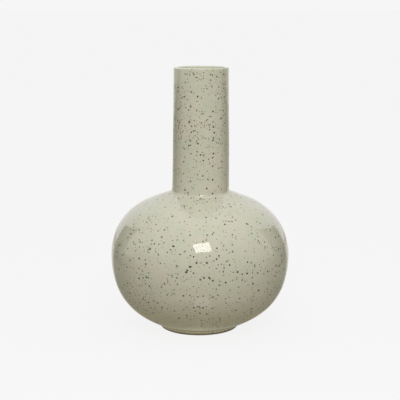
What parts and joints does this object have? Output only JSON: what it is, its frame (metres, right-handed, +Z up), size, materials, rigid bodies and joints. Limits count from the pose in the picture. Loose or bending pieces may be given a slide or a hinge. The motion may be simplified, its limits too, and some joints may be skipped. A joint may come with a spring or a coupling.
{
  "type": "bottle vase",
  "caption": "Round-bodied bottle vase with a tall straight neck, a rounded lip and a low foot ring, in pale speckled glaze.",
  "frame": {"origin": "centre of the foot ring's resting face, on the table", "axes": "+Z up along the vase's axis, -Y towards the side that the picture shows"},
  "size_m": [0.2056, 0.2056, 0.3],
  "materials": {
    "speckled_glaze": "gloss",
    "bare_clay": "matte"
  },
  "bodies": {
    "root": {"neck": "speckled_glaze", "shoulder": "speckled_glaze", "bowl": "speckled_glaze", "foot_ring": "bare_clay"}
  },
  "joints": []
}
